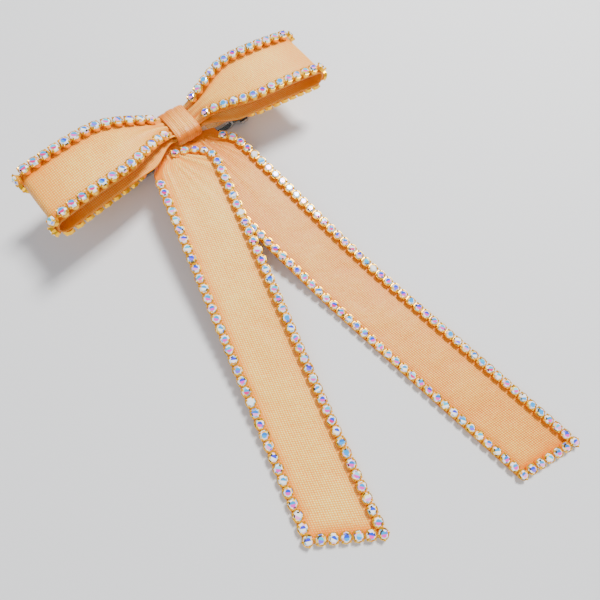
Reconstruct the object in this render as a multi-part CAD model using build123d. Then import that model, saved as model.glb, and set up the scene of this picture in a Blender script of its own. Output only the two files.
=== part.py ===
from build123d import *
import math
import os

# Hair clip: a satin bow with two long tails, edged with cup chain, on a spring barrette.
# Millimetres. The clip lies on its back: +Z is away from the hair, +X runs along the bow and the
# tails point towards -Y. The origin is on the flat underside of the clasp arm, below the knot.

# ---- driving dimensions -------------------------------------------------------------------
# ribbon
RIBBON_T = 0.5             # thickness of the doubled satin ribbon
LOOP_W = 22.0              # ribbon width on the bow
TAIL_W = 24.0              # ribbon width on the tails

# cup chain
PITCH = 3.65               # distance from stone to stone
EDGE_INSET = 1.25          # ribbon edge to the line of stone centres
GLUE_LINE = 0.08           # cup base to ribbon
CUP_BASE_R = 1.3
CUP_RIM_R = 1.68
CUP_H = 1.35
CUP_FLOOR = 0.4
STONE_R = 1.45
STONE_GIRDLE = 0.15        # height of the stone's upright band
STONE_TABLE_R = 0.8
STONE_CULET_R = 0.25
CROWN_H = 0.55
GIRDLE_DROP = 0.1          # how far the girdle's foot sits below the cup rim
LINK_W = 0.8
LINK_T = 0.3
LINK_LIFT = 0.3            # underside of a link above the cup base
LINK_GAP = 0.05            # link end to cup wall

# bow
BOW_L = 110.0              # over both folds, without the stones
LOOP_DROOP = 7.0           # degrees that each loop leans towards the tails
FRONT_Z = 21.2             # middle of the front layer
BACK_Z = 15.6              # middle of the back layer
FRONT_ROOT_Z = 13.5        # where the front layer leaves the gathered core
BACK_ROOT_Z = 11.6
FLARE_L = 24.0             # length over which the gathered ribbon opens to its full width
CORE_L = 10.0              # length of the gathered core along the bow
CORE_H = 9.8               # height of the core, along Y
THREAD_L = 7.0
THREAD_T = 0.45
BACK_CHAIN_END = 21.5      # the chain on the back layer stops this far from the knot
FRONT_CLIMB_L = 7.0        # the front layer's first pull point, from the core
FRONT_CLIMB = 0.55         # share of its rise there
FRONT_CREST_L = 16.0       # second pull point, from the core
FRONT_CREST = 0.6          # above the front layer
BACK_CLIMB_L = 4.0         # the same for the back layer
BACK_CLIMB = 0.7
BACK_CREST_L = 9.0
BACK_CREST = 0.3
FOLD_RUN = 14.0            # last pull point, before the fold
FOLD_CREST = 0.8
CHAIN_FIRST = 0.5          # the chain's first stone, from the core
KNOT_CHAIN_GAP = 0.3       # knot wrap to the first cup in sight

# knot wrap
KNOT_L = 10.0              # along the bow
KNOT_T = 0.6
KNOT_SIDE = 1.4            # room between the core and the sides of the wrap
KNOT_IN_R = 1.0            # inner corner radius
KNOT_CROWN = 0.7           # room between the core and the front of the wrap

# tails
LEFT_TAIL_L = 148.5        # from the pivot to the middle of the end row
RIGHT_TAIL_L = 174.0
LEFT_TAIL_ANGLE = -15.7    # degrees about Z from straight down
RIGHT_TAIL_ANGLE = 7.2
LEFT_ROOT_X = -3.9         # pivots of the two tails, behind the knot
RIGHT_ROOT_X = 1.8
END_SLANT = 22.0           # degrees, slant of the cut ends
SHOULDER_U = 17.7          # where a tail reaches its full width
SHOULDER_RISE = 9.0        # height of the rounded top of the stone line
NECK_R = 3.0               # half width of the gathered neck
LEFT_CHAIN_START = 104.0   # degrees round the shoulder where the edge chain begins
RIGHT_CHAIN_START = 62.0
END_ROW = 6                # pitches across the end of a tail
LEFT_TAIL_LIFT = 10.5      # highest point of the left tail, where it lies over the right one
LEFT_RISE_START = 7.0      # the left tail rises from here
LEFT_PEAK = 17.0           # to here
LEFT_FALL_END = 136.0      # and lies flat from here
LEFT_FALL_EASE = 0.93      # below 1 the fall starts sooner
RIGHT_FALL_START = 8.0
RIGHT_FALL_L = 87.0
NECK_BEAD_GAP = 0.25       # tail neck to the glue bead behind it

# barrette
PLATE_L = 60.0
PLATE_W = 8.0
PLATE_T = 0.8
PLATE_CREST_Z = 6.6        # underside of the plate at its middle
PLATE_RISE = 3.4           # height of its arch
ARM_T = 0.8
ARM_W = 6.0
ARM_STEP = 1.2             # height of the raised latch end
ARM_RAMP = 2.0             # length of the step
ARM_BEND_EASE = 0.3        # the step's upper bends sit this far back
SLOT_INNER = 1.6           # metal between the step and the slot
SLOT_OUTER = 1.2           # metal beyond the slot
PIN_R = 0.5
PIN_X = -28.0
PIN_Z = 1.6
PIN_HEAD_R = 0.85
PIN_HEAD_T = 0.35
RUN_CLEAR = 0.06           # radial running clearance on the pin
KNUCKLE_R = 1.2
EAR_T = 0.7
EAR_L = 3.6
SIDE_CLEAR = 0.15          # between pieces side by side on the pin
STRIP_T = 0.35
STRIP_W = 4.0
STRIP_CURL_R = 0.95
STRIP_CURL_INSET = 1.0     # the curl is narrower than the strip by this on each side
STRIP_TAB_CLEAR = 0.6      # knuckles to the strip's shoulders
STRIP_MID_Z = 1.55
STRIP_END_X = 20.5
STRIP_END_Z = 2.45
CATCH_X = 26.0             # middle of the catch
CATCH_L = 3.6              # length of a prong along X
SLOT_W = 4.1
SLOT_CLEAR_X = 0.7
SADDLE_T = 0.4
SADDLE_W = 6.2
SADDLE_MARGIN = 1.0        # saddle beyond the prongs
PRONG_T = 0.4
PRONG_CLEAR = 0.1
PRONG_FOOT_Z = 0.45
PRONG_BARB_T = 0.4
PRONG_BARB = 0.35
EAR_PAD_OUT = 3.0          # prong wall to its finger pad
SHELF_GAP = 0.25           # arm to the shelf that carries the pad
SHELF_T = 0.3
EAR_PAD_DROP = 0.9
RIVET_R = 0.7
RIVET_HEAD_R = 1.3
RIVET_HEAD_T = 0.35
RIVET_TAIL_TRIM = 0.2      # the upset end is smaller than the head
FIT_GAP = 0.02

# stack behind the knot
PAD_T = 0.45
PAD_L = 18.0
LAYER_GAP = 0.05

# ---- derived levels -----------------------------------------------------------------------
PLATE_TOP_Z = PLATE_CREST_Z + PLATE_T
PAD_TOP_Z = PLATE_TOP_Z + PAD_T
RIGHT_NECK_Z = PAD_TOP_Z + LAYER_GAP
LEFT_NECK_Z = RIGHT_NECK_Z + RIBBON_T + LAYER_GAP
WRAP_Z0 = LEFT_NECK_Z + RIBBON_T + LAYER_GAP
CORE_Z0 = WRAP_Z0 + KNOT_T
CORE_Z1 = FRONT_ROOT_Z + RIBBON_T / 2
WRAP_Z1 = CORE_Z1 + KNOT_CROWN + KNOT_T
KNOT_H = CORE_H + 2 * (KNOT_SIDE + KNOT_T)
CORE_X = CORE_L / 2
FOLD_R = (FRONT_Z - BACK_Z) / 2
FOLD_X = BOW_L / 2 - FOLD_R - RIBBON_T / 2
PLATE_R = ((PLATE_L / 2) ** 2 + PLATE_RISE ** 2) / (2 * PLATE_RISE)
STONE_SIT = CUP_H - GIRDLE_DROP
STONE_TOP = STONE_SIT + STONE_GIRDLE + CROWN_H


# ---- small geometry -----------------------------------------------------------------------
def smooth(t):
    t = min(max(t, 0.0), 1.0)
    return t * t * (3 - 2 * t)


def bezier_point(points, t):
    while len(points) > 1:
        points = [a + (b - a) * t for a, b in zip(points, points[1:])]
    return points[0]


def box_between(low, high):
    size = [h - l for l, h in zip(low, high)]
    mid = [(h + l) / 2 for l, h in zip(low, high)]
    return Pos(*mid) * Box(*size)


def plate_underside(x):
    return PLATE_CREST_Z - (PLATE_R - math.sqrt(PLATE_R ** 2 - x ** 2))


# ---- cup chain ----------------------------------------------------------------------------
def spaced(samples, pitch=PITCH, first=0.0):
    """Places every pitch along samples of (point, normal), as planes with X along the chain."""
    places = []
    travelled = 0.0
    wanted = first
    for (a, na), (b, nb) in zip(samples, samples[1:]):
        step = (b - a).length
        while wanted <= travelled + step:
            share = (wanted - travelled) / step
            normal = (na + (nb - na) * share).normalized()
            along = (b - a) - normal * (b - a).dot(normal)
            places.append(Plane(origin=a + (b - a) * share, x_dir=along, z_dir=normal))
            wanted += pitch
        travelled += step
    return places


def path_length(samples):
    return sum((b[0] - a[0]).length for a, b in zip(samples, samples[1:]))


def cup():
    outline = Polyline(
        (0, 0, 0),
        (CUP_BASE_R, 0, 0),
        (CUP_RIM_R, 0, CUP_H),
        (STONE_R, 0, CUP_H),
        (STONE_R, 0, STONE_SIT),
        (STONE_CULET_R, 0, CUP_FLOOR),
        (0, 0, CUP_FLOOR),
        close=True,
    )
    return revolve(make_face(outline), Axis.Z)


def stone():
    girdle_top = STONE_SIT + STONE_GIRDLE
    outline = Polyline(
        (0, 0, CUP_FLOOR),
        (STONE_CULET_R, 0, CUP_FLOOR),
        (STONE_R, 0, STONE_SIT),
        (STONE_R, 0, girdle_top),
        (STONE_TABLE_R, 0, STONE_TOP),
        (0, 0, STONE_TOP),
        close=True,
    )
    return revolve(make_face(outline), Axis.Z)


def link(a, b):
    """The flat link between two neighbouring cups, lifted where the chain goes round a bend."""
    along = b.origin - a.origin
    normal = (a.z_dir + b.z_dir).normalized()
    bend = math.radians(a.z_dir.get_angle(b.z_dir))
    if along.dot(b.z_dir - a.z_dir) < 0:
        bend = -bend
    bulge = along.length / 2 * math.tan(bend / 4)
    wall_r = CUP_BASE_R + (CUP_RIM_R - CUP_BASE_R) * (LINK_LIFT + LINK_T) / CUP_H
    length = along.length - 2 * (wall_r + LINK_GAP)
    middle = (a.origin + b.origin) * 0.5 + normal * (bulge + LINK_LIFT + LINK_T / 2)
    return Plane(origin=middle, x_dir=along, z_dir=normal) * Box(length, LINK_W, LINK_T)


def links(places):
    pairs = zip(places, places[1:])
    return [link(a, b) for a, b in pairs if (b.origin - a.origin).length < 1.5 * PITCH]


def cups(places):
    one = cup()
    return [place.location * one for place in places]


def stones(places):
    one = stone()
    return [place.location * one for place in places]


# ---- bow ----------------------------------------------------------------------------------
def loop_half_width(x, full):
    share = smooth((abs(x) - CORE_X) / FLARE_L)
    return CORE_H / 2 + (full - CORE_H / 2) * share


def loop_middle_y(x):
    return -max(abs(x) - CORE_X, 0.0) * math.tan(math.radians(LOOP_DROOP))


def front_controls(shift):
    rise = FRONT_Z - FRONT_ROOT_Z
    return [
        Vector(CORE_X, 0, FRONT_ROOT_Z + shift),
        Vector(CORE_X + FRONT_CLIMB_L, 0, FRONT_ROOT_Z + FRONT_CLIMB * rise + shift),
        Vector(CORE_X + FRONT_CREST_L, 0, FRONT_Z + FRONT_CREST + shift),
        Vector(FOLD_X - FOLD_RUN, 0, FRONT_Z + FOLD_CREST + shift),
        Vector(FOLD_X, 0, FRONT_Z + shift),
    ]


def back_controls(shift):
    rise = BACK_Z - BACK_ROOT_Z
    return [
        Vector(CORE_X, 0, BACK_ROOT_Z - shift),
        Vector(CORE_X + BACK_CLIMB_L, 0, BACK_ROOT_Z + BACK_CLIMB * rise - shift),
        Vector(CORE_X + BACK_CREST_L, 0, BACK_Z + BACK_CREST - shift),
        Vector(FOLD_X - FOLD_RUN, 0, BACK_Z - shift),
        Vector(FOLD_X, 0, BACK_Z - shift),
    ]


def loop_outline(shift):
    """Closed outline of the right loop seen along Y, shift outside the middle of the ribbon."""
    front = front_controls(shift)
    back = back_controls(shift)
    nose = Vector(FOLD_X + FOLD_R + shift, 0, (FRONT_Z + BACK_Z) / 2)
    edges = [
        Bezier(*front),
        ThreePointArc(front[-1], nose, back[-1]),
        Bezier(*back),
        Line(back[0], front[0]),
    ]
    return make_face(edges)


def loop_plan():
    """Plan of both loops and the core, as seen from above."""
    count = 9
    xs = [CORE_X + FLARE_L * i / (count - 1) for i in range(count)]
    end = BOW_L / 2 + 2
    upper = [(x, loop_middle_y(x) + loop_half_width(x, LOOP_W / 2)) for x in xs]
    lower = [(x, loop_middle_y(x) - loop_half_width(x, LOOP_W / 2)) for x in xs]
    upper_end = (end, loop_middle_y(end) + LOOP_W / 2)
    lower_end = (end, loop_middle_y(end) - LOOP_W / 2)
    edges = [
        Spline(*upper),
        Line(upper[-1], upper_end),
        Line(upper_end, lower_end),
        Line(lower_end, lower[-1]),
        Spline(*lower),
        Line(upper[0], lower[0]),
    ]
    right = make_face(edges)
    core_corners = [upper[0], lower[0], (-CORE_X, lower[0][1]), (-CORE_X, upper[0][1])]
    core = make_face(Polyline(*core_corners, close=True))
    return right + core + mirror(right, Plane.YZ)


def thread_groove():
    outer = Box(THREAD_L, 2 * CORE_H, 2 * CORE_H)
    inner = Box(THREAD_L, CORE_H - 2 * THREAD_T, CORE_Z1 - CORE_Z0 - 2 * THREAD_T)
    return Pos(0, 0, (CORE_Z0 + CORE_Z1) / 2) * (outer - inner)


def loop_ribbon():
    half = RIBBON_T / 2
    band = loop_outline(half) - loop_outline(-half)
    band += mirror(band, Plane.YZ)
    depth = LOOP_W + 2 * abs(loop_middle_y(BOW_L / 2))
    body = extrude(band, amount=depth, dir=(0, 1, 0), both=True)
    body += box_between((-CORE_X, -depth, CORE_Z0), (CORE_X, depth, CORE_Z1))
    prism = extrude(loop_plan(), amount=FRONT_Z + 10, dir=(0, 0, 1))
    return (body & prism) - thread_groove()


def binding_thread():
    sleeve = box_between(
        (-THREAD_L / 2, -CORE_H / 2, CORE_Z0),
        (THREAD_L / 2, CORE_H / 2, CORE_Z1),
    )
    return sleeve & thread_groove()


def loop_chain_samples(edge):
    """Points and outward normals along one edge of the right loop, from the knot's front to its back."""
    count = 60
    reach = RIBBON_T / 2 + GLUE_LINE
    line = []
    for i in range(count):
        line.append(bezier_point(front_controls(reach), i / count))
    for i in range(count // 2):
        turn = math.radians(90 - 180 * i / (count // 2))
        radius = FOLD_R + reach
        z = (FRONT_Z + BACK_Z) / 2 + radius * math.sin(turn)
        line.append(Vector(FOLD_X + radius * math.cos(turn), 0, z))
    for i in range(count + 1):
        line.append(bezier_point(back_controls(reach), 1 - i / count))
    half = LOOP_W / 2 - EDGE_INSET
    samples = []
    for before, here, after in zip(line, line[1:], line[2:]):
        along = after - before
        normal = Vector(-along.Z, 0, along.X).normalized()
        y = loop_middle_y(here.X) + edge * (loop_half_width(here.X, LOOP_W / 2) - LOOP_W / 2 + half)
        samples.append((Vector(here.X, y, here.Z), normal))
    return samples


def loop_chain_places(edge):
    """Cup places along one edge of both loops."""
    samples = loop_chain_samples(edge)
    clear = KNOT_L / 2 + CUP_RIM_R + KNOT_CHAIN_GAP
    right = []
    for place in spaced(samples, first=CHAIN_FIRST):
        front = place.z_dir.Z > 0
        if place.origin.X >= (clear if front else BACK_CHAIN_END):
            right.append(place)
    left = []
    for place in right:
        origin = Vector(-place.origin.X, place.origin.Y, place.origin.Z)
        along = Vector(-place.x_dir.X, place.x_dir.Y, place.x_dir.Z)
        normal = Vector(-place.z_dir.X, place.z_dir.Y, place.z_dir.Z)
        left.append(Plane(origin=origin, x_dir=along, z_dir=normal))
    return right, left


# ---- knot and glue ------------------------------------------------------------------------
def knot_wrap():
    height = WRAP_Z1 - WRAP_Z0
    outer = RectangleRounded(KNOT_H, height, KNOT_IN_R + KNOT_T)
    inner = RectangleRounded(KNOT_H - 2 * KNOT_T, height - 2 * KNOT_T, KNOT_IN_R)
    section = Plane.YZ * (outer - inner)
    band = extrude(section, amount=KNOT_L / 2, both=True)
    return Pos(0, 0, (WRAP_Z0 + WRAP_Z1) / 2) * band


def plate_blank():
    """The arched strip, before its ears are added."""
    half = PLATE_L / 2
    low = ThreePointArc(
        (-half, 0, plate_underside(half)),
        (0, 0, PLATE_CREST_Z),
        (half, 0, plate_underside(half)),
    )
    high = ThreePointArc(
        (-half, 0, plate_underside(half) + PLATE_T),
        (0, 0, PLATE_TOP_Z),
        (half, 0, plate_underside(half) + PLATE_T),
    )
    face = make_face([low, high, Line(low @ 0, high @ 0), Line(low @ 1, high @ 1)])
    strip = extrude(face, amount=PLATE_W / 2, dir=(0, 1, 0), both=True)
    corners = strip.edges().filter_by(Axis.Z).group_by(Axis.X)
    return fillet(corners[0] + corners[-1], PLATE_W / 4)


def glue_pad():
    """Slab on the crest of the plate, with a bead behind the tails up to the knot wrap."""
    sag = PLATE_CREST_Z - plate_underside(PAD_L / 2)
    slab = box_between((-PAD_L / 2, -PLATE_W / 2, PLATE_TOP_Z - sag), (PAD_L / 2, PLATE_W / 2, PAD_TOP_Z))
    bead_y0 = NECK_R + NECK_BEAD_GAP
    bead_y1 = KNOT_H / 2 - KNOT_T - KNOT_IN_R
    bead = box_between((-KNOT_L / 2, bead_y0, PLATE_TOP_Z), (KNOT_L / 2, bead_y1, WRAP_Z0))
    return slab + bead - plate_blank()


# ---- tails --------------------------------------------------------------------------------
def right_tail_z(u):
    return RIGHT_NECK_Z * (1 - smooth((u - RIGHT_FALL_START) / RIGHT_FALL_L))


def left_tail_z(u):
    if u < LEFT_PEAK:
        rise = smooth((u - LEFT_RISE_START) / (LEFT_PEAK - LEFT_RISE_START))
        return LEFT_NECK_Z + (LEFT_TAIL_LIFT - LEFT_NECK_Z) * rise
    share = min((u - LEFT_PEAK) / (LEFT_FALL_END - LEFT_PEAK), 1.0)
    return LEFT_TAIL_LIFT * (0.5 + 0.5 * math.cos(math.pi * share ** LEFT_FALL_EASE))


def tail_outline(length):
    """Plan of a tail in its own frame: the pivot at the origin, the tail towards -Y."""
    half = TAIL_W / 2
    slant = math.tan(math.radians(END_SLANT))
    margin = EDGE_INSET / math.cos(math.radians(END_SLANT))
    right_end = (half, -(length + half * slant + margin))
    left_end = (-half, -(length - half * slant + margin))
    rise = SHOULDER_RISE + EDGE_INSET
    dome = EllipticalCenterArc((0, -SHOULDER_U), half, rise, start_angle=0, arc_size=180)
    edges = [
        dome,
        Line((half, -SHOULDER_U), right_end),
        Line(right_end, left_end),
        Line(left_end, (-half, -SHOULDER_U)),
    ]
    neck = Circle(NECK_R) + Pos(0, -SHOULDER_U / 2) * Rectangle(2 * NECK_R, SHOULDER_U)
    return make_face(edges) + neck


def tail_ribbon(length, height):
    reach = length + TAIL_W
    count = 60
    us = [-2 * NECK_R + (reach + 2 * NECK_R) * i / (count - 1) for i in range(count)]
    low = Spline(*[(0, -u, height(u)) for u in us])
    high = Spline(*[(0, -u, height(u) + RIBBON_T) for u in us])
    side = make_face([low, high, Line(low @ 0, high @ 0), Line(low @ 1, high @ 1)])
    sheet = extrude(side, amount=TAIL_W, dir=(1, 0, 0), both=True)
    prism = extrude(tail_outline(length), amount=LEFT_TAIL_LIFT + 10, dir=(0, 0, 1))
    return sheet & Pos(0, 0, -1) * prism


def tail_samples(points, height):
    """Lift plan points (v, u) onto the ribbon and give each its normal."""
    samples = []
    for v, u in points:
        slope = height(u - 0.5) - height(u + 0.5)
        normal = Vector(0, -slope, 1).normalized()
        at = Vector(v, -u, height(u) + RIBBON_T) + normal * GLUE_LINE
        samples.append((at, normal))
    return samples


def tail_places(length, height, start_angle):
    """Cup places down the right edge, across the end and up the left edge, as one chain."""
    half = TAIL_W / 2 - EDGE_INSET
    slant = math.tan(math.radians(END_SLANT))
    right_u = length + half * slant
    left_u = length - half * slant
    steps = 40
    right = [(half, right_u + (SHOULDER_U - right_u) * i / steps) for i in range(steps)]
    for i in range(steps + 1):
        turn = math.radians(start_angle * i / steps)
        right.append((half * math.cos(turn), SHOULDER_U - SHOULDER_RISE * math.sin(turn)))
    left = [(-half, left_u + (SHOULDER_U - left_u) * i / steps) for i in range(steps + 1)]
    shares = [i / END_ROW for i in range(END_ROW + 1)]
    row = [(-half + 2 * half * share, left_u + (right_u - left_u) * share) for share in shares]
    row_samples = tail_samples(row, height)
    up_right = spaced(tail_samples(right, height))
    up_left = spaced(tail_samples(left, height))
    across = spaced(row_samples, pitch=path_length(row_samples) / END_ROW)
    return up_right[::-1] + across[1:-1][::-1] + up_left


def place_tail(shape, root_x, angle):
    return Pos(root_x, 0, 0) * Rot(0, 0, angle) * shape


# ---- barrette -----------------------------------------------------------------------------
def pin_rod(radius, length):
    return Pos(PIN_X, 0, PIN_Z) * Rot(90, 0, 0) * Cylinder(radius, length)


def top_plate():
    ear_out = PLATE_W / 2
    ear_in = ear_out - EAR_T
    x0 = PIN_X - EAR_L / 2
    x1 = PIN_X + EAR_L / 2
    z0 = PIN_Z - EAR_L / 3
    z1 = plate_underside(PIN_X) + PLATE_T / 2
    plate = plate_blank()
    for side in (-1, 1):
        ys = sorted((side * ear_in, side * ear_out))
        ear = box_between((x0, ys[0], z0), (x1, ys[1], z1))
        foot = ear.edges().filter_by(Axis.Y).group_by(Axis.Z)[0]
        plate += fillet(foot, EAR_L / 3 - 0.1)
    holes = pin_rod(PIN_R, 2 * PLATE_W)
    rivet_hole = Pos(CATCH_X, 0, plate_underside(CATCH_X)) * Cylinder(RIVET_R, 4 * PLATE_T)
    return plate - holes - rivet_hole


def hinge_pin():
    pin = pin_rod(PIN_R, PLATE_W + 2 * PIN_HEAD_T)
    for side in (-1, 1):
        y = side * (PLATE_W / 2 + PIN_HEAD_T / 2)
        pin += Pos(0, y, 0) * pin_rod(PIN_HEAD_R, PIN_HEAD_T)
    return pin


def knuckle(radius, y0, y1):
    """A curl round the pin between two places along Y, with a running bore."""
    length = y1 - y0
    ring = pin_rod(radius, length) - pin_rod(PIN_R + RUN_CLEAR, length)
    return Pos(0, (y0 + y1) / 2, 0) * ring


def clasp_arm():
    step_x = CATCH_X - CATCH_L / 2 - SLOT_CLEAR_X - SLOT_INNER
    end_x = CATCH_X + CATCH_L / 2 + SLOT_CLEAR_X + SLOT_OUTER
    profile = Polyline(
        (PIN_X, 0, 0),
        (step_x - ARM_RAMP, 0, 0),
        (step_x, 0, ARM_STEP),
        (end_x, 0, ARM_STEP),
        (end_x, 0, ARM_STEP + ARM_T),
        (step_x - ARM_BEND_EASE, 0, ARM_STEP + ARM_T),
        (step_x - ARM_RAMP - ARM_BEND_EASE, 0, ARM_T),
        (PIN_X, 0, ARM_T),
        close=True,
    )
    arm = extrude(make_face(profile), amount=ARM_W / 2, dir=(0, 1, 0), both=True)
    slot_l = CATCH_L + 2 * SLOT_CLEAR_X
    arm -= Pos(CATCH_X, 0, ARM_STEP) * Box(slot_l, SLOT_W, 4 * ARM_T)
    curl_in = STRIP_W / 2 - STRIP_CURL_INSET + SIDE_CLEAR
    curl_out = PLATE_W / 2 - EAR_T - SIDE_CLEAR
    gap = box_between(
        (PIN_X - KNUCKLE_R, -curl_in, -1),
        (PIN_X + 2 * KNUCKLE_R, curl_in, 2 * PIN_Z),
    )
    arm -= pin_rod(KNUCKLE_R - 0.1, PLATE_W)
    for side in (-1, 1):
        ys = sorted((side * curl_in, side * curl_out))
        arm += knuckle(KNUCKLE_R, ys[0], ys[1])
    tip = arm.edges().filter_by(Axis.Z).group_by(Axis.X)[-1]
    return fillet(tip, ARM_W / 4) - gap


def tension_strip():
    start = (PIN_X, 0, PIN_Z + STRIP_CURL_R - STRIP_T / 2)
    low = [
        (PIN_X, 0, start[2] - STRIP_T / 2),
        (0, 0, STRIP_MID_Z - STRIP_T / 2),
        (STRIP_END_X, 0, STRIP_END_Z - STRIP_T / 2),
    ]
    high = [(x, 0, z + STRIP_T) for x, _, z in low]
    under = ThreePointArc(*low)
    over = ThreePointArc(*high)
    side = make_face([under, over, Line(low[0], high[0]), Line(low[-1], high[-1])])
    blade = extrude(side, amount=STRIP_W / 2, dir=(0, 1, 0), both=True)
    curl_half = STRIP_W / 2 - STRIP_CURL_INSET
    root_x = PIN_X + 2 * KNUCKLE_R + STRIP_TAB_CLEAR
    for edge in (-1, 1):
        ys = sorted((edge * curl_half, edge * STRIP_W))
        blade -= box_between((PIN_X - 1, ys[0], 0), (root_x, ys[1], 2 * PIN_Z + 1))
    blade -= pin_rod(STRIP_CURL_R - 0.05, STRIP_W)
    tip = blade.edges().filter_by(Axis.Z).group_by(Axis.X)[-1]
    return fillet(tip, STRIP_W / 4) + knuckle(STRIP_CURL_R, -curl_half, curl_half)


def saddle_z():
    """Level of the saddle's top, which touches the plate at the saddle's outer end."""
    return plate_underside(CATCH_X + CATCH_L / 2 + SADDLE_MARGIN)


def catch_saddle():
    top = saddle_z()
    half = CATCH_L / 2 + SADDLE_MARGIN
    saddle = box_between(
        (CATCH_X - half, -SADDLE_W / 2, top - SADDLE_T),
        (CATCH_X + half, SADDLE_W / 2, top),
    )
    return saddle - Pos(CATCH_X, 0, top) * Cylinder(RIVET_R, 6 * SADDLE_T)


def catch_rivet():
    low = saddle_z() - SADDLE_T
    high = plate_underside(CATCH_X - RIVET_HEAD_R) + PLATE_T + FIT_GAP
    shank = Pos(CATCH_X, 0, (low + high) / 2) * Cylinder(RIVET_R, high - low)
    head = Pos(CATCH_X, 0, high + RIVET_HEAD_T / 2) * Cylinder(RIVET_HEAD_R, RIVET_HEAD_T)
    tail = Pos(CATCH_X, 0, low - RIVET_HEAD_T / 2) * Cylinder(RIVET_HEAD_R - RIVET_TAIL_TRIM, RIVET_HEAD_T)
    return shank + head + tail


def release_prong(side):
    """One squeeze prong; side is -1 in front and 1 behind."""
    top = saddle_z() - SADDLE_T - FIT_GAP
    wall_out = SLOT_W / 2 - PRONG_CLEAR - PRONG_BARB
    wall_in = wall_out - PRONG_T
    x0 = CATCH_X - CATCH_L / 2
    x1 = CATCH_X + CATCH_L / 2

    def slab(y0, y1, z0, z1):
        ys = sorted((side * y0, side * y1))
        return box_between((x0, ys[0], z0), (x1, ys[1], z1))

    prong = slab(wall_in, wall_out, PRONG_FOOT_Z, top)
    prong += slab(wall_in, wall_out + PRONG_BARB, PRONG_FOOT_Z, PRONG_FOOT_Z + PRONG_BARB_T)
    shelf_z = ARM_STEP + ARM_T + SHELF_GAP
    prong += slab(wall_in, wall_out + EAR_PAD_OUT, shelf_z, shelf_z + SHELF_T)
    pad_y = wall_out + EAR_PAD_OUT
    prong += slab(pad_y - PRONG_T, pad_y, shelf_z - EAR_PAD_DROP, shelf_z + SHELF_T)
    return prong


# ---- build and write ----------------------------------------------------------------------
def write(name, shapes):
    """Write one node as a STEP file, as one solid or a group of separate solids."""
    if not isinstance(shapes, list):
        shapes = [shapes]
    solids = [solid for shape in shapes for solid in shape.solids()]
    export_step(solids[0] if len(solids) == 1 else Compound(children=solids), f"parts/{name}.step")


def write_loops():
    loop_links = []
    for name, edge in (("upper", 1), ("lower", -1)):
        right, left = loop_chain_places(edge)
        write(f"loop_{name}_cups", cups(right + left))
        write(f"loop_{name}_stones", stones(right + left))
        loop_links += links(right) + links(left)
    write("loop_chain_links", loop_links)
    write("loop_ribbon", loop_ribbon())


def write_tail(name, length, height, root_x, angle, chain_start):
    places = tail_places(length, height, chain_start)
    write(f"{name}_ribbon", place_tail(tail_ribbon(length, height), root_x, angle))
    for kind, shapes in (("cups", cups(places)), ("stones", stones(places)), ("links", links(places))):
        write(f"{name}_{kind}", [place_tail(shape, root_x, angle) for shape in shapes])


def write_barrette():
    write("top_plate", top_plate())
    write("hinge_pin", hinge_pin())
    write("clasp_arm", clasp_arm())
    write("tension_strip", tension_strip())
    write("catch_saddle", catch_saddle())
    write("catch_rivet", catch_rivet())
    write("release_prong_front", release_prong(-1))
    write("release_prong_rear", release_prong(1))


os.makedirs("parts", exist_ok=True)
write_loops()
write("binding_thread", binding_thread())
write("knot_wrap", knot_wrap())
write("glue_pad", glue_pad())
write_tail("left_tail", LEFT_TAIL_L, left_tail_z, LEFT_ROOT_X, LEFT_TAIL_ANGLE, LEFT_CHAIN_START)
write_tail("right_tail", RIGHT_TAIL_L, right_tail_z, RIGHT_ROOT_X, RIGHT_TAIL_ANGLE, RIGHT_CHAIN_START)
write_barrette()
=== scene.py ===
import math

import bmesh
import bpy
import numpy as np
from mathutils import Matrix, Vector


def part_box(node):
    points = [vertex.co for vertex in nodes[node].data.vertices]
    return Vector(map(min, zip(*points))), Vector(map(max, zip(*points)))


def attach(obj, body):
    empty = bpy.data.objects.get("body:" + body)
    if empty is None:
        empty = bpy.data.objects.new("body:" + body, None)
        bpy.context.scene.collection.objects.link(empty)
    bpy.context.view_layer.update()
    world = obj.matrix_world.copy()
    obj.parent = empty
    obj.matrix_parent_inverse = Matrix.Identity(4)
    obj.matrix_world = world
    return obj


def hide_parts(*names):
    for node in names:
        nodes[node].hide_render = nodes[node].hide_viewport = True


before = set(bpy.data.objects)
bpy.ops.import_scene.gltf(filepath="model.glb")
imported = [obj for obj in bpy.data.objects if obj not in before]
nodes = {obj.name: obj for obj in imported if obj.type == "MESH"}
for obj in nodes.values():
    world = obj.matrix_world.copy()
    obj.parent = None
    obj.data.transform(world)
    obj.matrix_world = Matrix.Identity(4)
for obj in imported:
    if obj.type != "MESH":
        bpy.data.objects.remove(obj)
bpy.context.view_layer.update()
scene = bpy.context.scene
MM = 0.001

# ---- camera ----
# The camera stands in front of the tails' left side and looks down at the clip on its back.
# A short lens, close up.
camera_data = bpy.data.cameras.new("camera")
camera_data.sensor_width = 36.0
camera_data.lens = 23.16
camera_data.clip_start = 0.005
camera = bpy.data.objects.new("camera", camera_data)
scene.collection.objects.link(camera)
right = Vector((0.755, -0.647, 0.112)).normalized()
back = Vector((-0.282, -0.164, 0.945)).normalized()
up = back.cross(right).normalized()
right = up.cross(back)
camera_place = Vector((-45.0, -99.9, 131.7)) * MM
camera_turn = Matrix((right, up, back)).transposed().to_4x4()
camera.matrix_world = Matrix.Translation(camera_place) @ camera_turn
scene.camera = camera

# ---- table and light ----
# A plain pale table of matt paper, which scatters light evenly and has no gleam. A soft lamp
# stands high on the right and a weak fill on the left.
floor_data = bpy.data.meshes.new("table")
reach = 1.5  # metres from the middle to each side
corners = [(-reach, -reach, 0), (reach, -reach, 0), (reach, reach, 0), (-reach, reach, 0)]
floor_data.from_pydata(corners, [], [(0, 1, 2, 3)])
floor = bpy.data.objects.new("table", floor_data)
scene.collection.objects.link(floor)


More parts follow.
